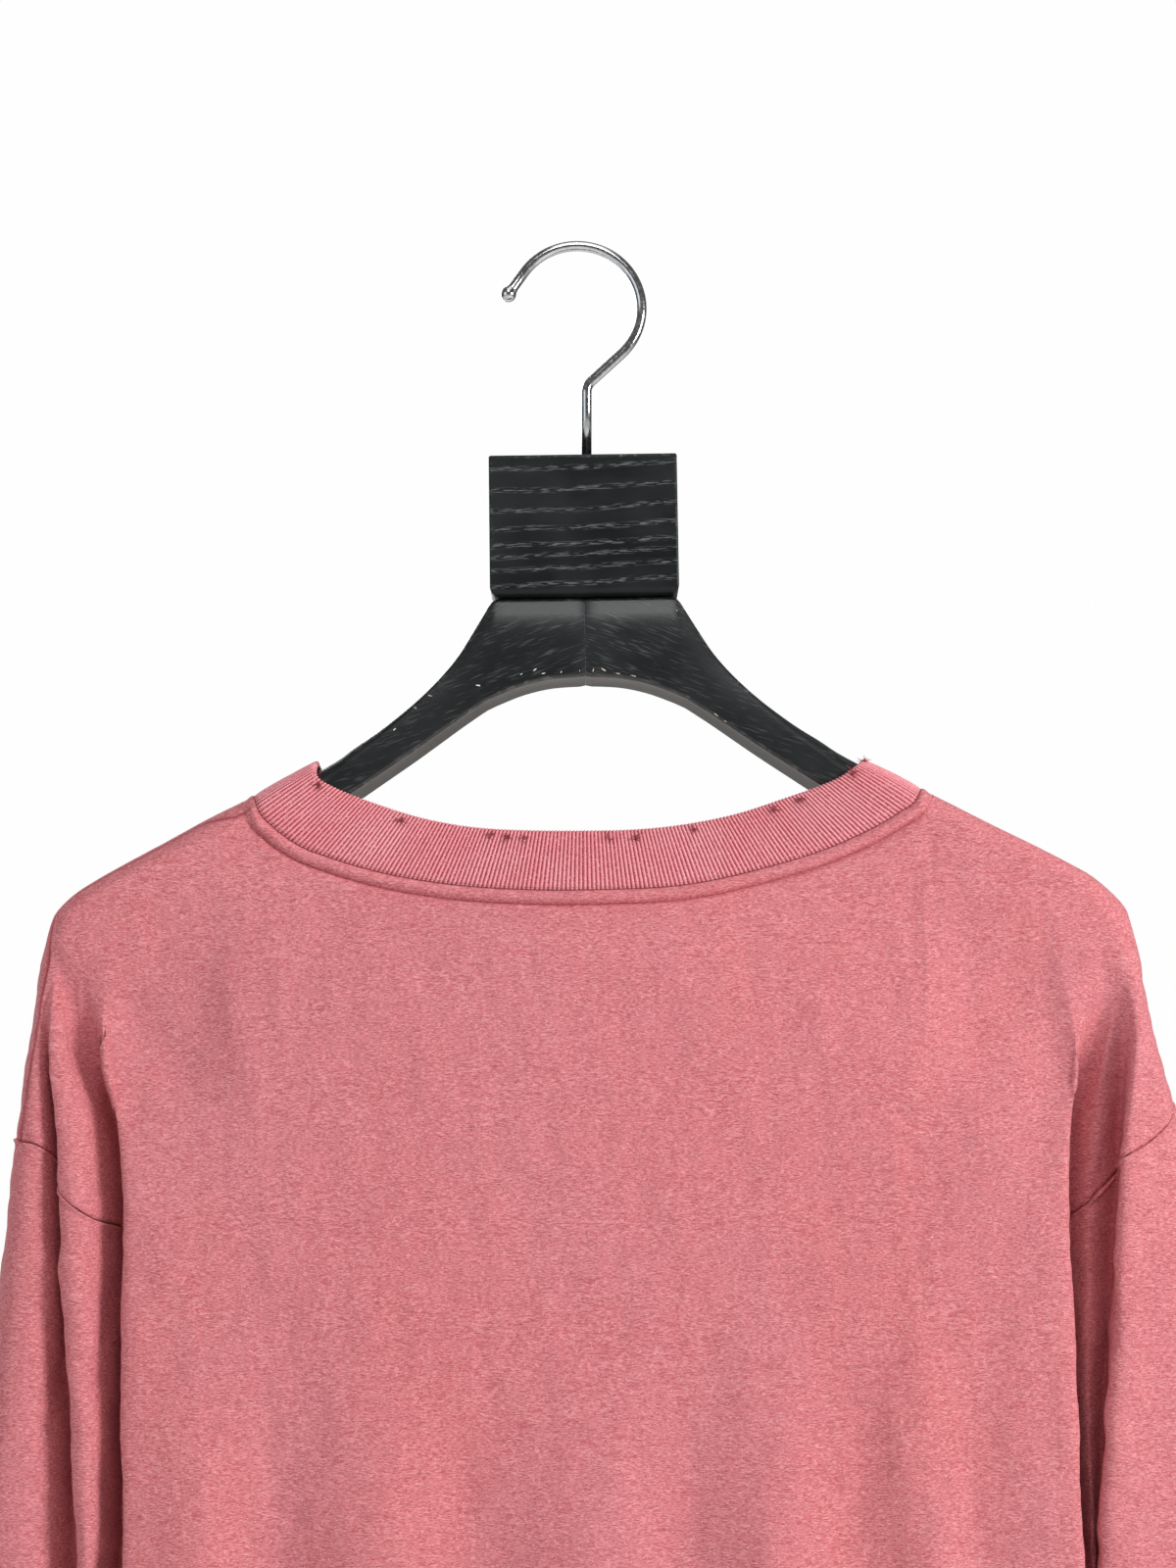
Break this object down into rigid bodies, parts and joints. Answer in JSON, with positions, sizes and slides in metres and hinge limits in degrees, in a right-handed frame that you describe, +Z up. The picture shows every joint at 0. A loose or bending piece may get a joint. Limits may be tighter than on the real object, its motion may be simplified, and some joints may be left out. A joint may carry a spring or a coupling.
{
  "type": "long-sleeve t-shirt on a wooden hanger",
  "caption": "Oversized long-sleeve jersey t-shirt with a ribbed round neck, hanging back side forward on a dark wooden hanger with a wire hook.",
  "frame": {"origin": "inside top of the hook's bend, where a rail carries it", "axes": "+X towards the right of the shirt as seen from its back, +Y from the back towards the front, +Z up"},
  "size_m": [0.4802, 0.0979, 0.9389],
  "materials": {
    "jersey": "brushed pink jersey, matt",
    "rib": "pink 1x1 rib knit, matt",
    "wood": "black-stained open-grain wood, satin",
    "wire": "polished plated wire"
  },
  "bodies": {
    "root": {"back_panel": "jersey", "front_panel": "jersey", "sleeve_left": "jersey", "sleeve_right": "jersey", "neck_rib": "rib", "hanger_arm_left": "wood", "hanger_arm_right": "wood", "hanger_block": "wood", "hanger_hook": "wire"}
  },
  "joints": []
}
